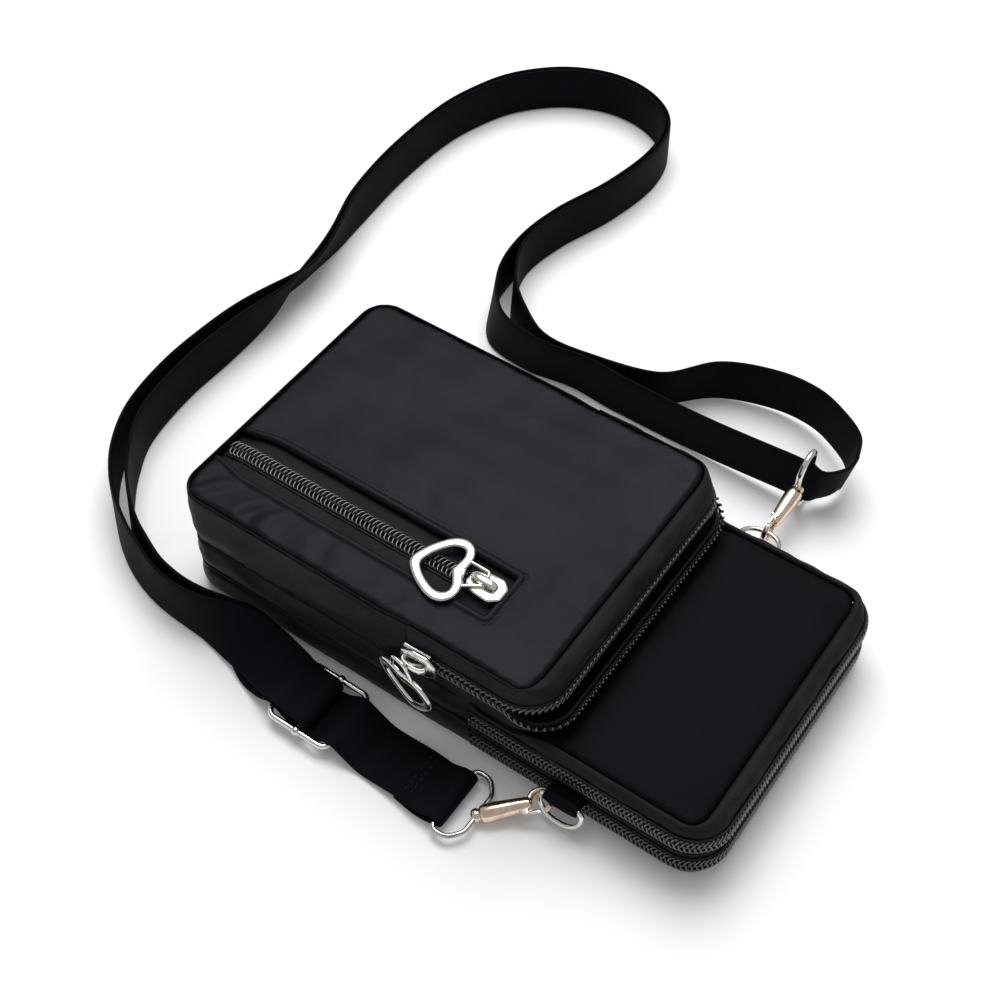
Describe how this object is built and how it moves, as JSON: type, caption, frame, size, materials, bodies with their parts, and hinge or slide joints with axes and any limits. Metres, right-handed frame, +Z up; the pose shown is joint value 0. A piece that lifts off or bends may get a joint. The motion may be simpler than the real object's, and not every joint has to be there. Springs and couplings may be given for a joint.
{
  "type": "phone_pouch_with_strap",
  "caption": "Small black nylon zipped phone pouch in two tiers, with metal heart pullers and a long doubled webbing strap clipped to its side rings",
  "frame": {"origin": "The middle of the flat back, halfway across the pouch and halfway along its lower tier, on the surface that it lies on", "axes": "+X across the pouch to the side with the pocket zip and the left snap hook, +Y along the pouch to its mouth end, +Z up out of the flat back"},
  "size_m": [0.3309, 0.2742, 0.0533],
  "materials": {
    "nylon_cloth": "matte",
    "webbing": "matte",
    "zip_tape": "matte",
    "zip_coil": "satin",
    "bright_steel": "polished",
    "dark_steel": "polished"
  },
  "bodies": {
    "pouch": {"back_panel": "nylon_cloth", "rear_gusset": "nylon_cloth", "rear_divider": "nylon_cloth", "middle_gusset": "nylon_cloth", "step_panel": "nylon_cloth", "front_gusset": "nylon_cloth", "front_panel": "nylon_cloth", "pocket_lining": "nylon_cloth", "rear_zip_lower_tape": "zip_tape", "rear_zip_upper_tape": "zip_tape", "middle_zip_lower_tape": "zip_tape", "middle_zip_upper_tape": "zip_tape", "front_zip_lower_tape": "zip_tape", "front_zip_upper_tape": "zip_tape", "pocket_zip_inner_tape": "zip_tape", "pocket_zip_outer_tape": "zip_tape", "rear_zip_lower_coil": "zip_coil", "rear_zip_upper_coil": "zip_coil", "middle_zip_lower_coil": "zip_coil", "middle_zip_upper_coil": "zip_coil", "front_zip_lower_coil": "zip_coil", "front_zip_upper_coil": "zip_coil", "pocket_zip_inner_coil": "zip_coil", "pocket_zip_outer_coil": "zip_coil", "left_tab": "webbing", "right_tab": "webbing", "left_eye": "dark_steel", "right_eye": "dark_steel", "tri_glide": "dark_steel", "strap_main": "webbing", "strap_return": "webbing"},
    "pocket_slider": {"pocket_slider": "bright_steel"},
    "front_slider": {"front_slider": "bright_steel"},
    "middle_slider": {"middle_slider": "bright_steel"},
    "rear_slider": {"rear_slider": "bright_steel"},
    "pocket_puller": {"pocket_puller": "bright_steel"},
    "front_puller": {"front_puller": "bright_steel"},
    "middle_puller": {"middle_puller": "bright_steel"},
    "rear_puller": {"rear_puller": "bright_steel"},
    "left_ring": {"left_ring": "bright_steel"},
    "right_ring": {"right_ring": "bright_steel"},
    "left_hook": {"left_hook": "bright_steel", "left_gate_pin": "bright_steel"},
    "left_gate": {"left_gate": "bright_steel"},
    "right_hook": {"right_hook": "bright_steel", "right_gate_pin": "bright_steel"},
    "right_gate": {"right_gate": "bright_steel"}
  },
  "joints": [
    {"name": "pocket_slide", "type": "slide", "parent": "pouch", "child": "pocket_slider", "axis": [0, -1, 0], "range_m": [0, 0.0915]},
    {"name": "front_slide", "type": "slide", "parent": "pouch", "child": "front_slider", "axis": [0, 1, 0], "range_m": [0, 0.026]},
    {"name": "middle_slide", "type": "slide", "parent": "pouch", "child": "middle_slider", "axis": [0, 1, 0], "range_m": [0, 0.018]},
    {"name": "rear_slide", "type": "slide", "parent": "pouch", "child": "rear_slider", "axis": [0, 1, 0], "range_m": [0, 0.018]},
    {"name": "pocket_pull", "type": "hinge", "parent": "pocket_slider", "child": "pocket_puller", "pos_m": [0.0282, 0.0035, 0.0515], "axis": [-0.9455, -0.3256, 0], "range_deg": [0, 165]},
    {"name": "front_pull", "type": "hinge", "parent": "front_slider", "child": "front_puller", "pos_m": [0.0577, -0.0054, 0.0383], "axis": [1, 0, 0], "range_deg": [-80, 5]},
    {"name": "middle_pull", "type": "hinge", "parent": "middle_slider", "child": "middle_puller", "pos_m": [-0.0577, 0.0215, 0.01975], "axis": [0, 0, -1], "range_deg": [0, 165]},
    {"name": "rear_pull", "type": "hinge", "parent": "rear_slider", "child": "rear_puller", "pos_m": [-0.0577, 0.0215, 0.00825], "axis": [0, 0, -1], "range_deg": [0, 110]},
    {"name": "left_ring_swing", "type": "hinge", "parent": "pouch", "child": "left_ring", "pos_m": [0.0589, 0.0535, 0.0126], "axis": [0, -1, 0], "range_deg": [-4, 4]},
    {"name": "right_ring_swing", "type": "hinge", "parent": "pouch", "child": "right_ring", "pos_m": [-0.0589, 0.0535, 0.0126], "axis": [0, 1, 0], "range_deg": [-3, 3]},
    {"name": "left_swivel", "type": "hinge", "parent": "pouch", "child": "left_hook", "pos_m": [0.07278, 0.03259, 0.00366], "axis": [-0.6543, 0.7183, 0.2368], "range_deg": [-6, 6]},
    {"name": "right_swivel", "type": "hinge", "parent": "pouch", "child": "right_hook", "pos_m": [-0.08844, 0.0535, 0.0135], "axis": [0.994, 0, -0.1093], "range_deg": [-8, 8]},
    {"name": "left_gate_hinge", "type": "hinge", "parent": "left_hook", "child": "left_gate", "pos_m": [0.06509, 0.04504, 0.00717], "axis": [0.1594, -0.175, 0.9716], "range_deg": [0, 12], "stiffness_Nm_per_rad": 0.002, "springref_deg": -171.89},
    {"name": "right_gate_hinge", "type": "hinge", "parent": "right_hook", "child": "right_gate", "pos_m": [-0.07343, 0.0535, 0.01457], "axis": [0, 1, 0], "range_deg": [0, 12], "stiffness_Nm_per_rad": 0.002, "springref_deg": -171.89}
  ]
}
